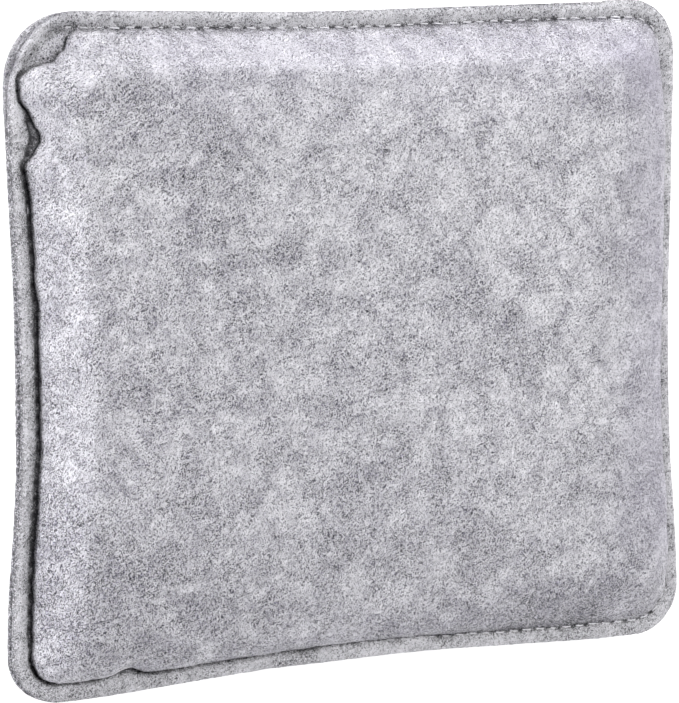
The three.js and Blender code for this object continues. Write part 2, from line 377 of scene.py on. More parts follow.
# Shift of the wall against a plain elliptical one: lean acts near the seam, chamfer half way up
def wallSlope(lean, chamfer, angle):
    bend = math.sin(2 * angle)
    return (lean * math.cos(angle) ** 2 * bend + chamfer * bend ** 2) / 2


# One ring of a wall that turns in towards the shoulder, where gone is the share of its run
def wallRing(columns, base, radii, run, gone, shift, height):
    ringRadii = radii * (1 - gone) + cover["shoulderRadius"] * gone
    pull = 1 - cover["drawnInLost"] * gone
    return outlineRing(columns, base + run * gone, ringRadii, pull, shift, height)


# Rings of one ply from the inner edge of its cut, over the flange and up the wall to the shoulder
def plyRings(ply, columns, detail):
    place = columns["place"]
    keys = ("seam", "pocket", "groove", "roll", "gape", "trim", "run")
    bits = {key: along(ply[key], place) * mm for key in keys}
    bits["jag"] = np.zeros(len(place))
    for k, (key, (size, span)) in enumerate(wander.items()):
        seed = ply["unevenSeed"] + wanderSeedStep * k
        bits[key] = bits[key] + size * mm * edgeNoise(columns, span, seed)
    bits["pocket"] = np.maximum(bits["pocket"], 0)
    lean, chamfer, lip = (along(ply[key], place) for key in ("lean", "chamfer", "lip"))
    radii = cover["cornerRadii"]
    allowance = cover["seamAllowance"]
    row = allowance + bits["seam"]
    foot = row + cover["grooveWidth"] + bits["pocket"]
    rings, kinds = [], []

    def addFlat(inset, height, kind):
        rings.append(outlineRing(columns, allowance, radii - allowance, 1, inset - allowance, height))
        kinds.append(kind)

    rounding = plyForm["edgeRound"]
    for rounded, share in plyForm["cutProfile"]:
        height = flangeInside + cover["feltThickness"] * share + bits["gape"]
        addFlat(rounding * rounded - bits["trim"], height, "cut")
    outside = rounding - bits["trim"]
    for q in np.linspace(0, 1, detail["flangeRings"]):
        spread = q ** plyForm["ringCrowd"]
        swell = bits["roll"] * np.sin(math.pi * spread ** plyForm["rollSkew"]) ** plyForm["rollPeak"]
        sink = bits["groove"] * smoothStep(lip, 1, spread)
        drop = plyForm["edgeDrop"] * (1 - smoothStep(0, plyForm["edgeFall"], spread))
        lift = bits["gape"] * (1 - spread) ** 2
        height = flangeOutside + swell + lift - sink - drop
        addFlat(outside + (row - outside) * spread, height, "flange")
    for q in (np.arange(detail["pocketRings"]) + 1) / detail["pocketRings"]:
        rise = plyForm["pocketRise"] * bits["pocket"] * np.sin(math.pi * q) ** plyForm["pocketPeak"]
        close = plyForm["pocketClose"] * bits["groove"] * q * np.minimum(bits["pocket"] / mm, 1)
        addFlat(row + (foot - row) * q, flangeOutside - bits["groove"] + rise + close, "groove")
    footHeight = rings[-1][:, 2]
    base = allowance + cover["grooveWidth"]
    for step in range(1, detail["wallRings"] + 1):
        angle = step / detail["wallRings"] * math.pi / 2
        rise, gone = math.sin(angle), 1 - math.cos(angle)
        shift = cover["shoulderRun"] * wallSlope(lean, chamfer, angle) + bits["run"] * gone
        jagged = bits["jag"] * (1 - smoothStep(0, plyForm["jagReach"], rise))
        shift += (foot - base) * (1 - smoothStep(0, 1, gone)) + jagged
        height = footHeight + (seamLevel - footHeight) * rise
        rings.append(wallRing(columns, base, radii - base, cover["shoulderRun"], gone, shift, height))
        kinds.append("wall")
    return rings, kinds


# How far the stitch row and the pocket fold a ply in
def foldedIn(ply, columns):
    return (along(ply["seam"], columns["place"]) + along(ply["pocket"], columns["place"])) * mm


# Rings of an inner wall that follows the felt's own, from the flange to the shoulder
def innerRings(ply, columns, base, radii, fold, steps, thickness):
    place = columns["place"]
    lean = np.maximum(along(ply["lean"], place), 0)
    chamfer = along(ply["chamfer"], place)
    wider = along(ply["run"], place) * mm
    run = cover["shoulderRun"] - thickness
    rings = []
    for step in range(steps + 1):
        angle = step / steps * math.pi / 2
        rise, gone = math.sin(angle), 1 - math.cos(angle)
        shift = cover["shoulderRun"] * wallSlope(lean, chamfer, angle) + wider * gone
        shift = shift + fold * (1 - smoothStep(0, 1, gone))
        height = flangeOutside + (seamLevel - thickness - flangeOutside) * rise
        rings.append(wallRing(columns, base, radii, run, gone, shift, height))
    return rings


# Inner side of a ply: flat inside the flange, then a plain wall under the felt's thickness
def plyLining(ply, columns):
    thickness = cover["feltThickness"]
    base = cover["seamAllowance"] + cover["grooveWidth"] + thickness
    radii = np.maximum(cover["cornerRadii"] - base, mm)
    fold = foldedIn(ply, columns)
    flat = outlineRing(columns, base, radii, 1, fold, flangeInside)
    return [flat] + innerRings(ply, columns, base, radii, fold, fineMesh["liningSteps"], thickness)


# The filling swells each ply: a coarse copy of its wall and crown, sewn down at the foot, is run as cloth
swelling = {
    "frames": 20, "pressure": 4.0, "weight": 0.002, "stretch": 60.0, "bend": 20.0, "damping": 5.0,
    "cap": 2.2 * mm,
    "nearest": 5,              # points of the coarse copy that a fine point follows
    "blend": 0.8 * mm,         # how softly it passes from one to the next
}


def swellCage(ply):
    columns = layColumns(cageMesh["spacing"])
    rings, kinds = plyRings(ply, columns, cageMesh)
    skin = newSkin()
    ids = [addPoints(skin, ring) for ring in rings[kinds.index("wall") - 1:]]
    bridgeAll(skin, ids)
    fillRing(skin, ids[-1], columns, 1, ply["crown"])
    before = np.concatenate(skin["points"])
    cage = skinToObject("swellCage", skin)
    sewn = cage.vertex_groups.new(name="sewn")
    sewn.add(ids[0].tolist(), 1.0, "REPLACE")
    cloth = cage.modifiers.new("Cloth", "CLOTH")
    settings = cloth.settings
    settings.vertex_group_mass = "sewn"
    settings.mass = swelling["weight"]
    settings.tension_stiffness = swelling["stretch"]
    settings.compression_stiffness = swelling["stretch"]
    settings.shear_stiffness = swelling["stretch"]
    settings.bending_stiffness = swelling["bend"]
    settings.air_damping = swelling["damping"]
    settings.use_pressure = True
    settings.uniform_pressure_force = swelling["pressure"]
    settings.effector_weights.gravity = 0
    cloth.collision_settings.use_collision = False
    cloth.point_cache.frame_start = 1
    cloth.point_cache.frame_end = swelling["frames"]
    scene = bpy.context.scene
    for step in range(1, swelling["frames"] + 1):
        scene.frame_set(step)
    shaped = cage.evaluated_get(bpy.context.evaluated_depsgraph_get())
    after = np.array([vertex.co for vertex in shaped.to_mesh().vertices])
    shaped.to_mesh_clear()
    scene.frame_set(1)
    bpy.data.objects.remove(cage, do_unlink=True)
    moves = after - before
    size = np.linalg.norm(moves, axis=1)
    moves *= (np.minimum(size, swelling["cap"]) / np.maximum(size, 1e-9))[:, None]
    middle = float(np.median(size))
    print("swelling: largest move", round(size.max() / mm, 2), "mm, middle", round(middle / mm, 2))
    return before, moves


def followCage(points, before, moves):
    tree = kdtree.KDTree(len(before))
    for k, point in enumerate(before):
        tree.insert(point, k)
    tree.balance()
    moved = points.copy()
    for k, point in enumerate(points):
        near = tree.find_n(point, swelling["nearest"])
        weights = np.array([1 / (found[2] ** 2 + swelling["blend"] ** 2) for found in near])
        moved[k] += weights @ moves[[found[1] for found in near]] / weights.sum()
    return moved


# Uneven felt: broad and small swells in height, and a wave along the flange
uneven = {
    "broad": 0.35 * mm, "broadSpan": 26.0 * mm,
    "small": 0.12 * mm, "smallSpan": 7.0 * mm,
    "wave": 0.14 * mm, "waveSpan": 18.0 * mm,
    "flangeSmall": 0.3,        # share of the small swells on the flange
    "flangeFade": 2.0 * mm,    # height over the flange where the wall is swollen in full
}


def roughen(points, seed):
    shifted = points.copy()
    for k, (x, y, z) in enumerate(points):
        broad = noise.noise(Vector((x, y, seed * mm)) / uneven["broadSpan"] + Vector((seed, 0, 0)))
        small = noise.noise(Vector((x, y, z)) / uneven["smallSpan"] + Vector((0, seed, 0)))
        wave = noise.noise(Vector((x, y, 0)) / uneven["waveSpan"] + Vector((0, 0, seed)))
        onFlange = 1 - min(1.0, max(0.0, (z - flangeOutside) / uneven["flangeFade"]))
        lift = (uneven["broad"] * broad + uneven["small"] * small) * (1 - onFlange)
        ripple = uneven["flangeSmall"] * uneven["small"] * small + uneven["wave"] * wave
        shifted[k, 2] += lift + ripple * onFlange
    return shifted


# Painted shade in the crease: darkest nearest to the stitch row and to the foot of the wall
creaseForm = {
    "rowReach": 0.7 * mm,
    "footReach": 1.5 * mm,
    "lineReach": 0.45 * mm,
    "cutFade": (0.7, 0.25),    # shares of the cut edge's darkness carried onto the first rings of the flange, as painted shade on the rounded rim
}
creaseWander = {               # share, span in mm and seed of the painted shade's uneven reaches and of its line
    "flangeReach": (0.7, 3.4, 11),
    "wallReach": (0.7, 3.4, 9),
    "rowLine": (0.8, 3.5, 8),
}


def fade(away, reach):
    return np.exp(-(away / reach) ** 2)


def creaseMarks(ply, rings, kinds, columns):
    place = columns["place"]
    steps = np.linalg.norm(np.diff(np.array(rings), axis=0), axis=2)
    walked = np.vstack([np.zeros(len(place)), np.cumsum(steps, axis=0)])
    row = walked[kinds.index("groove") - 1]
    foot = walked[kinds.index("wall") - 1]
    keys = ("rowShade", "footShade", "floorShade", "rowLine", "flangeReach", "wallReach")
    shade = {key: along(ply[key], place) for key in keys}
    for key, (share, span, seed) in creaseWander.items():
        shade[key] = shade[key] * (1 + share * edgeNoise(columns, span, seed))
    onFlange = shade["rowShade"] * fade(np.maximum(row - walked, 0) / shade["flangeReach"], mm)
    onWall = shade["footShade"] * fade(np.maximum(walked - foot, 0) / shade["wallReach"], mm)
    byRow = shade["rowShade"] * fade(walked - row, creaseForm["rowReach"])
    byFoot = shade["footShade"] * fade(walked - foot, creaseForm["footReach"])
    inPocket = np.maximum(np.maximum(byRow, byFoot), shade["floorShade"])
    line = shade["rowLine"] * fade(walked - row, creaseForm["lineReach"])
    broad = np.where(walked < row, onFlange, np.where(walked > foot, onWall, inPocket))
    return np.clip(np.maximum(broad, line), 0, 1).ravel()


cloudForm = {"ruffle": 4.0, "ruffleSpan": 7.0 * mm, "flangeShare": 0.3, "seed": 5}  # ruffle in mm


def cloudMarks(points, cloudsAndShade):
    total = np.zeros(len(points))
    noise.seed_set(cloudForm["seed"])  # without it noise_vector shifts with the clock
    ruffle = [noise.noise_vector(Vector(point) / cloudForm["ruffleSpan"]) for point in points]
    ruffle = np.array(ruffle)[:, :2] * cloudForm["ruffle"]
    for middle, reach, amount in cloudsAndShade:
        away = np.linalg.norm(points[:, :2] / mm + ruffle - middle, axis=1)
        total += amount * fade(away, reach)
    return total


# What the felt's material reads at each point: cut edge with painted rim shade, painted crease shade, pale
# flange with painted light, clouds with painted wall shade, and painted cool shade
def feltMarks(ply, points, rings, kinds, columns):
    place = columns["place"]
    count = len(place)
    rim, row = kinds.index("flange"), kinds.index("groove")
    marks = {title: np.zeros(len(points)) for title in ("cutEdge", "crease", "flat")}
    marks["cloudAndShade"] = cloudMarks(points, ply["cloudsAndShade"])
    marks["coolShade"] = cloudMarks(points, ply["coolShade"])
    # The cut edge is darkened: the cut felt's own speckle, with painted shade where its rim rounds over onto
    # the flange
    cutShade = along(ply["cutShade"], place)
    marks["cutEdge"][:rim * count] = np.tile(cutShade, rim)
    for k, share in enumerate(creaseForm["cutFade"]):
        marks["cutEdge"][(rim + k) * count:(rim + k + 1) * count] = share * cutShade
    marks["cloudAndShade"][:row * count] *= cloudForm["flangeShare"]
    marks["coolShade"][:row * count] = 0
    marks["crease"][:len(kinds) * count] = creaseMarks(ply, rings, kinds, columns)
    # The flange is mixed towards paler felt: partly its own pressed tone, partly painted light where the
    # pad's bulk shades it
    marks["flat"][rim * count:row * count] = np.tile(along(ply["paleFlange"], place), row - rim)
    return marks


# Closes a wall at the shoulder with a grid of fewer points
def closeWall(skin, ids, ring, columns, start, lift):
    scale, ratio = start
    points = ring * np.array([scale, scale, 1])
    fillRing(skin, thinRing(skin, ids, points[::ratio], ratio), columns, ratio, lift)


def plyShell(name, ply):
    columns = layColumns(fineMesh["spacing"])
    rings, kinds = plyRings(ply, columns, fineMesh)
    skin = newSkin()
    outer = [addPoints(skin, ring) for ring in rings]
    bridgeAll(skin, outer)
    closeWall(skin, outer[-1], rings[-1], columns, fineMesh["crownStart"], ply["crown"])
    outerCount = skin["count"]
    lining = plyLining(ply, columns)
    inner = [addPoints(skin, ring) for ring in lining]
    bridge(skin, outer[0], inner[0])
    bridgeAll(skin, inner)
    closeWall(skin, inner[-1], lining[-1], columns, fineMesh["liningStart"], ply["crown"])
    points = np.concatenate(skin["points"])
    marks = feltMarks(ply, points, rings, kinds, columns)
    padded = slice(kinds.index("wall") * len(columns["place"]), outerCount)
    points[padded] = followCage(points[padded], *swellCage(ply))
    points[:outerCount] = roughen(points[:outerCount], ply["unevenSeed"])
    if ply["side"] < 0:
        points[:, 2] = np.minimum(points[:, 2], seamLevel)  # flat where the pad lies on it
    points[:, 2] = seamLevel + ply["side"] * points[:, 2]
    skin["points"] = [points]
    obj = skinToObject(name, skin)
    for title, values in marks.items():
        layer = obj.data.attributes.new(title, "FLOAT", "POINT")
        layer.data.foreach_set("value", values)
    print(name, len(points), "points,", len(skin["faces"]), "faces")
    return obj, {"ring": rings[kinds.index("groove") - 1], "place": columns["place"]}


def placePiece(obj, node, material):
    obj.data.materials.clear()
    obj.data.materials.append(material)
    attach(obj, "root")
    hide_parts(node)


# Sewing threads
sewing = {
    "stitch": 4.3 * mm,
    "threadRadius": 0.2 * mm,
    "sides": 8,
    "steps": 9,                # points along one stitch
    "dip": 1.2 * mm,           # needle hole under the felt of the row
    "roundness": 1.9,          # of a stitch between its two holes
    "slant": 0.22 * mm,
    "unevenSlant": 0.25,
    "unevenLift": 0.16 * mm,
    "tackInset": 2.7 * mm,     # the row starts and ends here, and its first stitch is sewn three times
    "tackRounds": (0.3, -1.2, -2.3),  # where these three lie across the row, in spreads
    "tackSpread": 0.55 * mm,
    "tackLift": 0.7 * mm,
    "lookAhead": 0.2 * mm,     # step along the row that gives its direction
    "plyTwist": 1.4 * mm,      # length of one turn of the two strands
    "strandShare": 0.16,       # how far the two strands make the thread out of round
}


# Walks along the stitch row by length, and says where that is along the cut edge
def rowWalker(row):
    loop = np.vstack([row["ring"], row["ring"][:1]])
    walked = np.concatenate([[0], np.cumsum(np.linalg.norm(np.diff(loop[:, :2], axis=0), axis=1))])
    edge = np.append(row["place"], row["place"][-1])

    def walk(place):
        place = np.mod(place, walked[-1])
        return np.stack([np.interp(place, walked, loop[:, axis]) for axis in range(3)], -1)

    def edgeAt(place):
        return np.interp(np.mod(place, walked[-1]), walked, edge)

    return walk, edgeAt, walked[-1]


def threadPiece(name, row, ply):
    walk, edgeAt, length = rowWalker(row)
    stitches = round(length / sewing["stitch"])
    pitch = length / stitches
    total = stitches + len(sewing["tackRounds"]) - 1
    rng = np.random.default_rng(ply["stitchSeed"])
    slants = rng.normal(0, sewing["unevenSlant"], total + 1) + 1
    lifts = rng.normal(0, sewing["unevenLift"], total + 1)
    share = np.arange(total * sewing["steps"] + 1) / sewing["steps"]
    index = np.minimum(share.astype(int), total - 1)
    t = share - index
    turnBack = stitches + 1    # the first stitch is sewn over, then once more backwards
    place = np.minimum(share, 2 * turnBack - share) * pitch + sewing["tackInset"]
    ahead = walk(place + sewing["lookAhead"]) - walk(place - sewing["lookAhead"])
    ahead[:, 2] = 0
    ahead /= np.linalg.norm(ahead, axis=1)[:, None]
    outward = np.stack([ahead[:, 1], -ahead[:, 0], np.zeros(len(share))], 1)
    tack = np.zeros(total)
    tack[[0, -2, -1]] = sewing["tackRounds"]
    lift = 1 - np.abs(2 * t - 1) ** sewing["roundness"]
    shift = tack[index] * sewing["tackSpread"] * np.sqrt(lift)
    shift += sewing["slant"] * slants[index] * (t - 0.5)
    lie = along(ply["lie"], edgeAt(place)) * mm + np.abs(tack[index]) * sewing["tackLift"]
    centre = walk(place) + outward * shift[:, None]
    centre[:, 2] += (sewing["dip"] + lie + lifts[index]) * lift - sewing["dip"]
    skin = newSkin()
    angles = np.arange(sewing["sides"]) / sewing["sides"] * 2 * math.pi
    rings = []
    for k in range(len(share)):
        twist = place[k] / sewing["plyTwist"] * 2 * math.pi
        radius = sewing["threadRadius"] * (1 + sewing["strandShare"] * np.cos(2 * (angles - twist)))
        ring = centre[k] + outward[k] * (radius * np.cos(angles))[:, None]
        ring[:, 2] = seamLevel + ply["side"] * (ring[:, 2] + radius * np.sin(angles))
        rings.append(addPoints(skin, ring))
    bridgeAll(skin, rings)
    skin["faces"].append(rings[0].tolist())
    skin["faces"].append(rings[-1].tolist()[::-1])
    print(name, stitches, "stitches of", round(pitch / mm, 2), "mm")
    return skinToObject(name, skin), walk(np.arange(stitches) * pitch + sewing["tackInset"])


# The felt gives round each needle hole, and its dip is darkened with painted shade
needleHoles = {
    "depth": 0.5 * mm, "depthRange": (0.3, 1.0), "reach": 0.55 * mm, "shade": 0.55, "seed": 21,
    "leftUnder": 0.3 * mm,     # felt that stays under a hole
    "band": 2.0 * mm,          # height over the flange up to which the felt gives
}


def pressHoles(obj, holes, ply):
    tree = kdtree.KDTree(len(holes))
    for k, hole in enumerate(holes):
        tree.insert((hole[0], hole[1], 0), k)
    tree.balance()
    crease = obj.data.attributes["crease"].data
    depths = np.random.default_rng(needleHoles["seed"]).uniform(*needleHoles["depthRange"], len(holes))
    lowest = flangeInside + needleHoles["leftUnder"]
    highest = flangeOutside + needleHoles["band"]
    for vertex in obj.data.vertices:
        height = ply["side"] * (vertex.co.z - seamLevel)
        if not lowest < height < highest:
            continue
        hole, near = tree.find((vertex.co.x, vertex.co.y, 0))[1:]
        press = depths[hole] * math.exp(-(near / needleHoles["reach"]) ** 2)
        vertex.co.z -= ply["side"] * min(needleHoles["depth"] * press, height - lowest)
        # painted shade in the dip round the hole
        crease[vertex.index].value = min(1.0, crease[vertex.index].value + needleHoles["shade"] * press)


# Foam core, pressed round at its edges
foamSizes = {"gap": 0.3 * mm, "clear": 0.6 * mm, "steps": 7, "spacing": 2.4 * mm, "crown": 0.2 * mm}


def foamPiece(name):
    columns = layColumns(foamSizes["spacing"])
    thickness = cover["feltThickness"] + foamSizes["gap"]
    base = cover["seamAllowance"] + cover["grooveWidth"] + thickness + foamSizes["clear"]
    radii = np.maximum(cover["cornerRadii"] - base, mm)
    skin = newSkin()
    halves = []
    for ply in (frontPly, backPly):
        fold = np.maximum(foldedIn(ply, columns), 0)
        rings = innerRings(ply, columns, base, radii, fold, foamSizes["steps"], thickness)
        halves.append([addPoints(skin, ring * np.array([1, 1, ply["side"]])) for ring in rings])
    upper, lower = halves
    bridge(skin, lower[0], upper[0])
    bridgeAll(skin, upper)
    bridgeAll(skin, lower)
    fillRing(skin, upper[-1], columns, 1, foamSizes["crown"])
    fillRing(skin, lower[-1], columns, 1, 0)
    points = np.concatenate(skin["points"])
    points[:, 2] += seamLevel
    skin["points"] = [points]
    print(name, len(points), "points,", len(skin["faces"]), "faces")
    return skinToObject(name, skin)


# Shader helpers
def addNode(tree, kind, **settings):
    node = tree.nodes.new(kind)
    for key, value in settings.items():
        setattr(node, key, value)
    return node


def setInputs(node, values):
    for key, value in values.items():
        node.inputs[key].default_value = value


# A socket gets a fixed value or a link
def feed(tree, value, socket):
    if isinstance(value, (int, float, tuple)):
        socket.default_value = value
    else:
        tree.links.new(value, socket)


def mathNode(tree, operation, a, b, clamp=False):
    node = addNode(tree, "ShaderNodeMath", operation=operation, use_clamp=clamp)
    feed(tree, a, node.inputs[0])
    feed(tree, b, node.inputs[1])
    return node.outputs[0]


def times(tree, a, b):
    return mathNode(tree, "MULTIPLY", a, b)


def vectorNode(tree, operation, values, scale=None):
    node = addNode(tree, "ShaderNodeVectorMath", operation=operation)
    for k, value in enumerate(values):
        feed(tree, value, node.inputs[k])
    if scale is not None:
        feed(tree, scale, node.inputs["Scale"])
    return node.outputs["Vector"]


def noiseNode(tree, vector, settings, output="Fac"):
    node = addNode(tree, "ShaderNodeTexNoise", noise_dimensions="3D")
    setInputs(node, dict(zip(("Scale", "Detail", "Roughness", "Distortion"), settings)))
    tree.links.new(vector, node.inputs["Vector"])
    return node.outputs[output]


def mapRange(tree, value, low, high, toLow=0.0, toHigh=1.0, curve="SMOOTHSTEP"):
    node = addNode(tree, "ShaderNodeMapRange", clamp=True, interpolation_type=curve)
    setInputs(node, {"From Min": low, "From Max": high, "To Min": toLow, "To Max": toHigh})
    tree.links.new(value, node.inputs["Value"])
    return node.outputs["Result"]


def mixColour(tree, factor, a, b):
    node = addNode(tree, "ShaderNodeMix", data_type="RGBA", blend_type="MIX")
    for key, value in ((0, factor), (6, a), (7, b)):    # factor and the two colours
        feed(tree, value, node.inputs[key])
    return node.outputs[2]


def markNode(tree, title):
    node = addNode(tree, "ShaderNodeAttribute", attribute_name=title, attribute_type="GEOMETRY")
    return node.outputs["Fac"]


def addBump(tree, shader, height, distance):
    bump = addNode(tree, "ShaderNodeBump")
    setInputs(bump, {"Strength": 1.0, "Distance": distance})
    tree.links.new(height, bump.inputs["Height"])
    tree.links.new(bump.outputs["Normal"], shader.inputs["Normal"])


def newMaterial(name, settings):
    material = bpy.data.materials.new(name)
    material.use_nodes = True
    shader = material.node_tree.nodes["Principled BSDF"]
    setInputs(shader, settings)
    return material, material.node_tree, shader


# Strands in several directions. Turns are in degrees, tilts too; tilts and shifts are a start and a step.
darkStrands = {
    "turns": (8, 49, 83, 118, 157), "tilts": (11, 7), "shifts": (0.0, 0.013),
    "cut": (0.57, 0.59), "stretch": 1.0,
}
paleStrands = {
    "turns": (28, 66, 101, 139, 172), "tilts": (-9, -8), "shifts": (0.4, 0.017),
    "cut": (0.57, 0.59), "stretch": 1.0,
}
longStrands = {
    "turns": (18, 75, 128), "tilts": (6, -5), "shifts": (0.9, 0.019),
    "cut": (0.66, 0.69), "stretch": 3.5,
}
# Noises are scale, detail, roughness and distortion.
# Levels are where a noise starts to count and where it counts in full.
fibre = {
    "length": 2.0 * mm,
    "width": 0.28 * mm,
    "strandNoise": (1.0, 1, 0.5, 0.0),
    "shiftParts": (1.0, 1.7, 0.6),
    "sideTilt": 0.7,
    "curl": 1.1 * mm,
    "curlNoise": (300.0, 2, 0.6, 0.0),
    "wallPull": 1.5,           # the felt is drawn out where it goes over the foam's edge
    "cloudNoise": (120.0, 6, 0.66, 0.5),
    "cloudGain": 0.4,          # how much a listed cloud adds to the noise
    "cloudMiddle": 0.5,
    "cloudPull": 0.07,         # how far a cloud thickens the dark strands and thins the pale ones
    "cloudLevels": (0.32, 0.68),
    "cloudThin": 0.75,         # dark strands where there is no cloud, pale ones where there is
    "patchNoise": (230.0, 2, 0.55, 0.4),
    "patchLevels": (0.36, 0.58, 0.8, 1.0),
    "grainNoise": (2600.0, 2, 0.6, 0.0),
    "grainRelief": 0.8,
    "speckLevels": (0.55, 0.62),
    "speckShare": 0.75,
    "knotNoise": (2000.0, 1, 0.5, 0.8),
    "knotLevels": (0.60, 0.67),
    "knotClouds": (0.42, 0.6),
    "endNoise": (1500.0, 3, 0.7, 0.6),
    "endLevels": (0.44, 0.51),
}


# Lengthwise noise in each direction, cut to thin strands
def strandLayer(tree, where, pull, layer):
    strands = None
    for k, turn in enumerate(layer["turns"]):
        tilt = layer["tilts"][0] + layer["tilts"][1] * k
        shift = layer["shifts"][0] + layer["shifts"][1] * k
        mapping = addNode(tree, "ShaderNodeMapping", vector_type="TEXTURE")
        setInputs(mapping, {
            "Location": [shift * part for part in fibre["shiftParts"]],
            "Rotation": [math.radians(angle) for angle in (tilt, tilt * fibre["sideTilt"], turn)],
            "Scale": (fibre["length"] * layer["stretch"], fibre["width"], fibre["width"]),
        })
        tree.links.new(where, mapping.inputs["Vector"])
        threads = noiseNode(tree, mapping.outputs["Vector"], fibre["strandNoise"])
        cut = mapRange(tree, mathNode(tree, "ADD", threads, pull), *layer["cut"])
        strands = cut if strands is None else mathNode(tree, "MAXIMUM", strands, cut)
    return strands


# Tangled fibres: thin dark and pale strands, dark specks, cloudy blends, and the relief that they make
def fibreGroup():
    group = bpy.data.node_groups.new("feltFibres", "ShaderNodeTree")
    for title, value in (("Fineness", 1.0), ("Knot Size", 1.0), ("Cloud", 0.0)):
        socket = group.interface.new_socket(title, in_out="INPUT", socket_type="NodeSocketFloat")
        socket.default_value = value
    for title in ("Dark", "Pale", "Knots", "Cut Ends", "Clouds", "Height"):
        group.interface.new_socket(title, in_out="OUTPUT", socket_type="NodeSocketFloat")
    inputs = addNode(group, "NodeGroupInput").outputs
    outputs = addNode(group, "NodeGroupOutput").inputs
    surface = addNode(group, "ShaderNodeTexCoord").outputs["Object"]
    thinned = 1 / fibre["wallPull"]
    level = frontHigh.z * (1 - thinned)      # keeps the front as it is
    drawn = vectorNode(group, "MULTIPLY_ADD", (surface, (1, 1, thinned), (0, 0, level)))
    place = vectorNode(group, "SCALE", (drawn,), inputs["Fineness"])
    curl = noiseNode(group, place, fibre["curlNoise"], "Color")
    sway = vectorNode(group, "SCALE", (curl,), fibre["curl"])
    where = vectorNode(group, "ADD", (place, sway))
    cloudsAndShade = noiseNode(group, place, fibre["cloudNoise"])
    cloudsAndShade = mathNode(group, "ADD", cloudsAndShade, times(group, inputs["Cloud"], fibre["cloudGain"]))
    darker = mathNode(group, "SUBTRACT", cloudsAndShade, fibre["cloudMiddle"])
    darker = times(group, darker, fibre["cloudPull"])
    dark = strandLayer(group, where, darker, darkStrands)
    pale = strandLayer(group, where, times(group, darker, -1.0), paleStrands)
    pale = mathNode(group, "MAXIMUM", pale, strandLayer(group, where, 0.0, longStrands))
    patches = mapRange(group, noiseNode(group, place, fibre["patchNoise"]), *fibre["patchLevels"])
    dense = mapRange(group, cloudsAndShade, *fibre["cloudLevels"], fibre["cloudThin"], 1.0)
    sparse = mapRange(group, cloudsAndShade, *fibre["cloudLevels"], 1.0, fibre["cloudThin"])
    grain = noiseNode(group, place, fibre["grainNoise"])
    specks = times(group, mapRange(group, grain, *fibre["speckLevels"]), fibre["speckShare"])
    lumps = mathNode(group, "ADD", noiseNode(group, where, fibre["knotNoise"]), darker)
    knots = mapRange(group, times(group, lumps, inputs["Knot Size"]), *fibre["knotLevels"])
    relief = mathNode(group, "SUBTRACT", pale, dark)
    results = {
        "Dark": times(group, mathNode(group, "MAXIMUM", dark, specks), times(group, dense, patches)),
        "Pale": times(group, pale, times(group, sparse, patches)),
        "Knots": times(group, knots, mapRange(group, cloudsAndShade, *fibre["knotClouds"])),
        "Cut Ends": mapRange(group, noiseNode(group, place, fibre["endNoise"]), *fibre["endLevels"]),
        "Clouds": cloudsAndShade,
        "Height": mathNode(group, "ADD", relief, times(group, grain, fibre["grainRelief"])),
    }
    for title, value in results.items():
        group.links.new(value, outputs[title])
    return group


def placeFibres(tree, fibres, look):
    group = addNode(tree, "ShaderNodeGroup", node_tree=fibres)
    setInputs(group, {"Fineness": look["fineness"], "Knot Size": look["knotSize"]})
    return group


feltLook = {
    "body": (0.525, 0.515, 0.56, 1),
    "shade": (0.468, 0.442, 0.575, 1),
    "cloudLevels": (0.3, 0.7),
    # paler felt of the flange, partly its own tone and partly painted light
    "flat": (0.95, 0.94, 0.98, 1),
    "dark": (0.03, 0.029, 0.04, 1),
    "pale": (0.96, 0.95, 0.99, 1),
    # violet grey of the painted cool shade on the walls
    "coolShade": (0.51, 0.48, 0.595, 1),
    # cut edge: its own dark speckle, and painted shade on its rounded rim
    "cutEdge": (0.02, 0.02, 0.022, 1),
    # near black of the painted crease shade
    "crease": (0.012, 0.012, 0.016, 1),
    "darkShare": 1.0,
    "paleShare": 0.92,
    "knotShare": 0.85,
    "creaseShare": 0.93,
    "endShare": 0.82,
    "ragged": 5.0,             # how far fibres cross the border of the painted crease shade
    "relief": 0.36 * mm,
    "fineness": 1.0,
    "knotSize": 1.0,
    "shader": {"Roughness": 0.95, "Sheen Weight": 0.2, "Sheen Roughness": 0.6, "Specular IOR Level": 0.1},
}


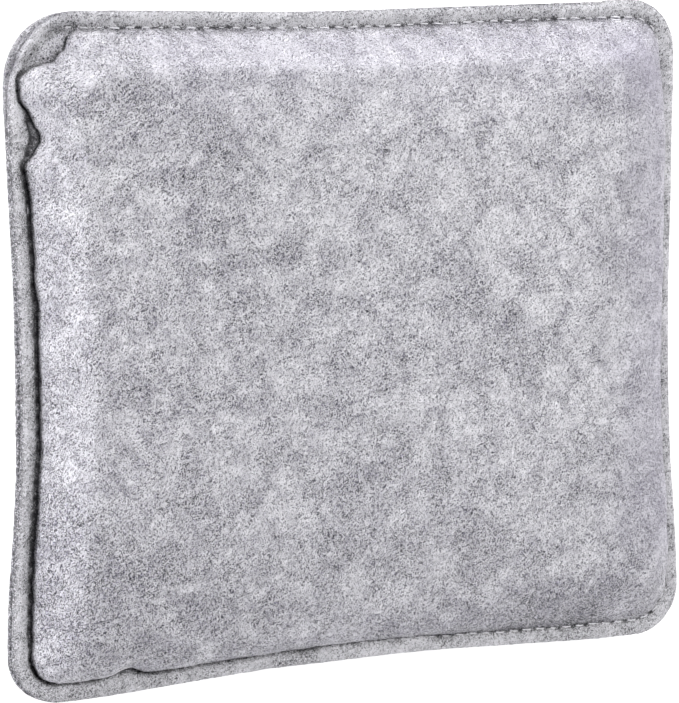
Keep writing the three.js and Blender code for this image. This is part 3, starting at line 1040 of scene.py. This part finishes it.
def feltMaterial(fibres):
    material, tree, shader = newMaterial("greyFelt", feltLook["shader"])
    group = placeFibres(tree, fibres, feltLook)
    tree.links.new(markNode(tree, "cloudAndShade"), group.inputs["Cloud"])
    dark, pale, knots = (group.outputs[title] for title in ("Dark", "Pale", "Knots"))
    ends = times(tree, group.outputs["Cut Ends"], feltLook["endShare"])
    mark = markNode(tree, "crease")
    border = times(tree, mark, mathNode(tree, "SUBTRACT", 1.0, mark))
    ragged = times(tree, mathNode(tree, "SUBTRACT", dark, pale), feltLook["ragged"])
    crease = mathNode(tree, "ADD", mark, times(tree, border, ragged), clamp=True)
    clouded = mapRange(tree, group.outputs["Clouds"], *feltLook["cloudLevels"])
    colour = mixColour(tree, clouded, feltLook["body"], feltLook["shade"])
    # The flange's pale mix is partly painted light, the cut edge's mix is partly painted shade, and the cool
    # and crease mixes are painted shade
    for factor, title in (                   # each colour lies over the ones before
        (markNode(tree, "flat"), "flat"),
        (times(tree, dark, feltLook["darkShare"]), "dark"),
        (times(tree, pale, feltLook["paleShare"]), "pale"),
        (times(tree, knots, feltLook["knotShare"]), "dark"),
        (markNode(tree, "coolShade"), "coolShade"),
        (times(tree, markNode(tree, "cutEdge"), ends), "cutEdge"),
        (times(tree, crease, feltLook["creaseShare"]), "crease"),
    ):
        colour = mixColour(tree, factor, colour, feltLook[title])
    tree.links.new(colour, shader.inputs["Base Color"])
    addBump(tree, shader, group.outputs["Height"], feltLook["relief"])
    return material


threadLook = {
    "body": (0.88, 0.87, 0.91, 1),
    "dark": (0.4, 0.4, 0.42, 1),
    "darkShare": 0.3,
    "roughness": (0.75, 0.55),     # between its pale strands, and on them
    "fineness": 2.0,
    "knotSize": 0.8,
    "shader": {"Sheen Weight": 0.2},
}


def threadMaterial(fibres):
    material, tree, shader = newMaterial("paleThread", threadLook["shader"])
    group = placeFibres(tree, fibres, threadLook)
    amount = times(tree, group.outputs["Dark"], threadLook["darkShare"])
    colour = mixColour(tree, amount, threadLook["body"], threadLook["dark"])
    tree.links.new(colour, shader.inputs["Base Color"])
    rough = mapRange(tree, group.outputs["Pale"], 0.0, 1.0, *threadLook["roughness"])
    tree.links.new(rough, shader.inputs["Roughness"])
    return material


foamLook = {
    "body": (0.82, 0.79, 0.71, 1),
    # pore: painted shade in the hollows of the foam's cells
    "pore": (0.55, 0.51, 0.42, 1),
    "poreScale": 1400,
    "poreLevels": (0.1, 0.5),
    "relief": 0.2 * mm,
    "shader": {"Roughness": 0.9},
}


def foamMaterial():
    material, tree, shader = newMaterial("creamFoam", foamLook["shader"])
    cells = addNode(tree, "ShaderNodeTexVoronoi")
    setInputs(cells, {"Scale": foamLook["poreScale"]})
    tree.links.new(addNode(tree, "ShaderNodeTexCoord").outputs["Object"], cells.inputs["Vector"])
    walls = mapRange(tree, cells.outputs["Distance"], *foamLook["poreLevels"])
    colour = mixColour(tree, walls, foamLook["pore"], foamLook["body"])
    tree.links.new(colour, shader.inputs["Base Color"])
    addBump(tree, shader, walls, foamLook["relief"])
    return material


# Pieces
fibres = fibreGroup()
felt = feltMaterial(fibres)
thread = threadMaterial(fibres)
foam = foamMaterial()

frontFelt, frontRow = plyShell("front_felt", frontPly)
backFelt, backRow = plyShell("back_felt", backPly)
needleThread, frontHoles = threadPiece("needle_stitches", frontRow, frontPly)
bobbinThread, backHoles = threadPiece("bobbin_stitches", backRow, backPly)
pressHoles(frontFelt, frontHoles, frontPly)
pressHoles(backFelt, backHoles, backPly)
foamSlab = foamPiece("foam_slab")

placePiece(frontFelt, "front_felt_panel", felt)
placePiece(backFelt, "back_felt_panel", felt)
placePiece(needleThread, "needle_thread", thread)
placePiece(bobbinThread, "bobbin_thread", thread)
placePiece(foamSlab, "foam_core", foam)
print("pieces placed")

# Floor and light
studio = {
    "floorSize": 6.0,
    "floorDrop": 0.05 * mm,    # the floor lies this far under the pad
    "floor": {
        "Base Color": (0.3, 0.3, 0.3, 1), "Roughness": 0.9,
        "Emission Color": (1.0, 1.0, 1.0, 1), "Emission Strength": 0.95,
    },
    "tint": (1.0, 0.995, 1.03, 1),
    "roundStrength": 2.15,     # band of light all round, and what its left and upper sides add
    "leftStrength": 6.4,
    "upperStrength": 2.6,
    "bandEnd": 0.45,           # height of direction where the band ends
    "lamp": (0.35, 0.3, 0.9), "lampSize": 0.6, "lampPower": 9.15,
}


def makeFloor():
    half = studio["floorSize"] / 2
    corners = [(-half, -half, 0), (half, -half, 0), (half, half, 0), (-half, half, 0)]
    mesh = bpy.data.meshes.new("floor")
    mesh.from_pydata(corners, [], [(0, 1, 2, 3)])
    mesh.materials.append(newMaterial("paleFloor", studio["floor"])[0])
    floor = bpy.data.objects.new("floor", mesh)
    floor.location.z = -studio["floorDrop"]
    bpy.context.collection.objects.link(floor)


def makeLight(name, place, size, power):
    data = bpy.data.lights.new(name, "AREA")
    data.shape = "DISK"
    data.size = size
    data.energy = power
    light = bpy.data.objects.new(name, data)
    light.location = place
    light.rotation_euler = (-Vector(place)).to_track_quat("-Z", "Y").to_euler()
    bpy.context.collection.objects.link(light)


# A tent of light: a low band all round, brightest on the left
def makeWorld():
    world = bpy.data.worlds.new("studio")
    bpy.context.scene.world = world
    world.use_nodes = True
    tree = world.node_tree
    sky = tree.nodes["Background"]
    sky.inputs["Color"].default_value = studio["tint"]
    where = addNode(tree, "ShaderNodeTexCoord")
    split = addNode(tree, "ShaderNodeSeparateXYZ")
    tree.links.new(where.outputs["Generated"], split.inputs["Vector"])
    left = mapRange(tree, split.outputs["X"], 0.0, -1.0, 0.0, studio["leftStrength"], "LINEAR")
    upper = mapRange(tree, split.outputs["Y"], 0.0, 1.0, 0.0, studio["upperStrength"], "LINEAR")
    band = mapRange(tree, split.outputs["Z"], 0.0, studio["bandEnd"], 1.0, 0.0, "LINEAR")
    strength = mathNode(tree, "ADD", mathNode(tree, "ADD", left, upper), studio["roundStrength"])
    tree.links.new(mathNode(tree, "MULTIPLY", strength, band), sky.inputs["Strength"])


makeFloor()
makeWorld()
makeLight("lamp", studio["lamp"], studio["lampSize"], studio["lampPower"])
bpy.context.scene.view_settings.view_transform = "Standard"

# Camera: left of the work face and a little above it, with the pad's upper side up
shot = {
    "leftOf": math.radians(26.0),
    "above": math.radians(7.33),
    "roll": math.radians(-0.49),
    "distance": 848.0 * mm,
    "aim": (-5.08 * mm, -2.96 * mm),
    "focalPixels": 3127.0,
    "frameHeight": 703,
    "sensor": 36.0,
}


def makeCamera():
    towards = Vector((-math.sin(shot["leftOf"]) * math.cos(shot["above"]), math.sin(shot["above"]),
                      math.cos(shot["leftOf"]) * math.cos(shot["above"])))
    right = (-towards).cross(Vector((0, 1, 0))).normalized()
    up = right.cross(-towards)
    cos, sin = math.cos(shot["roll"]), math.sin(shot["roll"])
    acrossAxis = right * cos + up * sin
    upAxis = up * cos - right * sin
    data = bpy.data.cameras.new("camera")
    data.sensor_width = shot["sensor"]
    data.lens = shot["focalPixels"] * shot["sensor"] / shot["frameHeight"]
    camera = bpy.data.objects.new("camera", data)
    turn = Matrix((acrossAxis, upAxis, towards)).transposed().to_4x4()
    aim = Vector((*shot["aim"], seamLevel))
    camera.matrix_world = Matrix.Translation(aim + towards * shot["distance"]) @ turn
    bpy.context.collection.objects.link(camera)
    bpy.context.scene.camera = camera


makeCamera()
print("studio ready")
